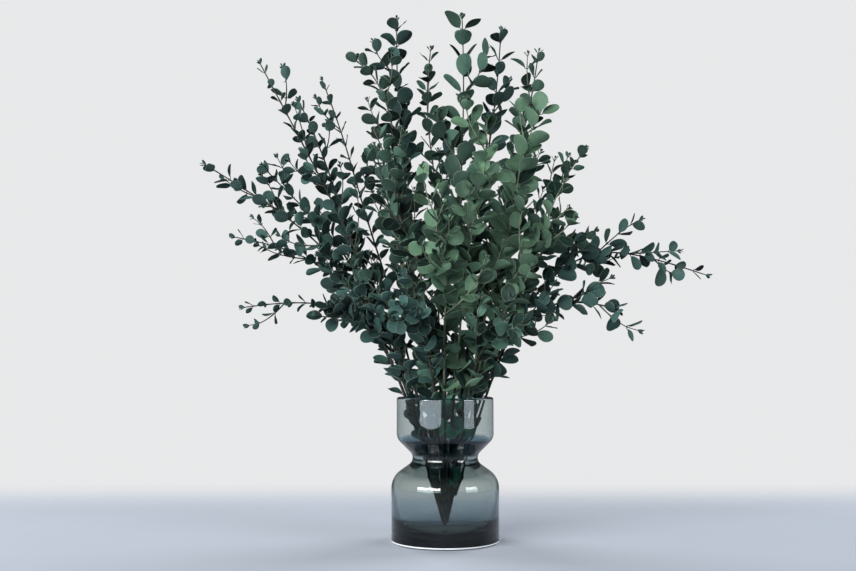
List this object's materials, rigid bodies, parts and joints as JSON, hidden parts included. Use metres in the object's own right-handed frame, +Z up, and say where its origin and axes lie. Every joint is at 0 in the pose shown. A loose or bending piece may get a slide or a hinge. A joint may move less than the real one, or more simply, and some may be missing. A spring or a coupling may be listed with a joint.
{
  "type": "eucalyptus arrangement in a glass vase",
  "caption": "Preserved green eucalyptus branches standing loosely in a smoked-glass hourglass vase.",
  "frame": {"origin": "centre of the vase's foot, on the surface it stands on", "axes": "+Z up along the vase's axis, +X to the right and -Y to the front"},
  "size_m": [0.7096, 0.4508, 0.7532],
  "materials": {
    "smoked_glass": "polished, see-through, grey-blue",
    "bark": "matt bark",
    "leaf_dark": "matt waxy leaf",
    "leaf_mid": "matt waxy leaf",
    "leaf_light": "matt waxy leaf"
  },
  "bodies": {
    "root": {"glass_vase": "smoked_glass", "stem_01": "bark", "stem_02": "bark", "stem_03": "bark", "stem_04": "bark", "stem_05": "bark", "stem_06": "bark", "stem_07": "bark", "stem_08": "bark", "stem_09": "bark", "stem_10": "bark", "stem_11": "bark", "stem_12": "bark", "stem_13": "bark", "stem_14": "bark", "stem_15": "bark", "stem_16": "bark", "stem_17": "bark", "stem_18": "bark", "stem_19": "bark", "stem_20": "bark", "stem_21": "bark", "stem_22": "bark", "stem_23": "bark", "stem_24": "bark", "stem_25": "bark", "stem_26": "bark", "stem_27": "bark", "stem_28": "bark", "stem_29": "bark", "leaves_01": "leaf_dark", "leaves_02": "leaf_dark", "leaves_03": "leaf_dark", "leaves_04": "leaf_dark", "leaves_05": "leaf_dark", "leaves_06": "leaf_dark", "leaves_07": "leaf_dark", "leaves_08": "leaf_mid", "leaves_09": "leaf_dark", "leaves_10": "leaf_mid", "leaves_11": "leaf_mid", "leaves_12": "leaf_mid", "leaves_13": "leaf_dark", "leaves_14": "leaf_mid", "leaves_15": "leaf_light", "leaves_16": "leaf_mid", "leaves_17": "leaf_light", "leaves_18": "leaf_mid", "leaves_19": "leaf_dark", "leaves_20": "leaf_dark", "leaves_21": "leaf_dark", "leaves_22": "leaf_mid", "leaves_23": "leaf_mid", "leaves_24": "leaf_light", "leaves_25": "leaf_light", "leaves_26": "leaf_dark", "leaves_27": "leaf_dark", "leaves_28": "leaf_dark", "leaves_29": "leaf_mid"}
  },
  "joints": []
}
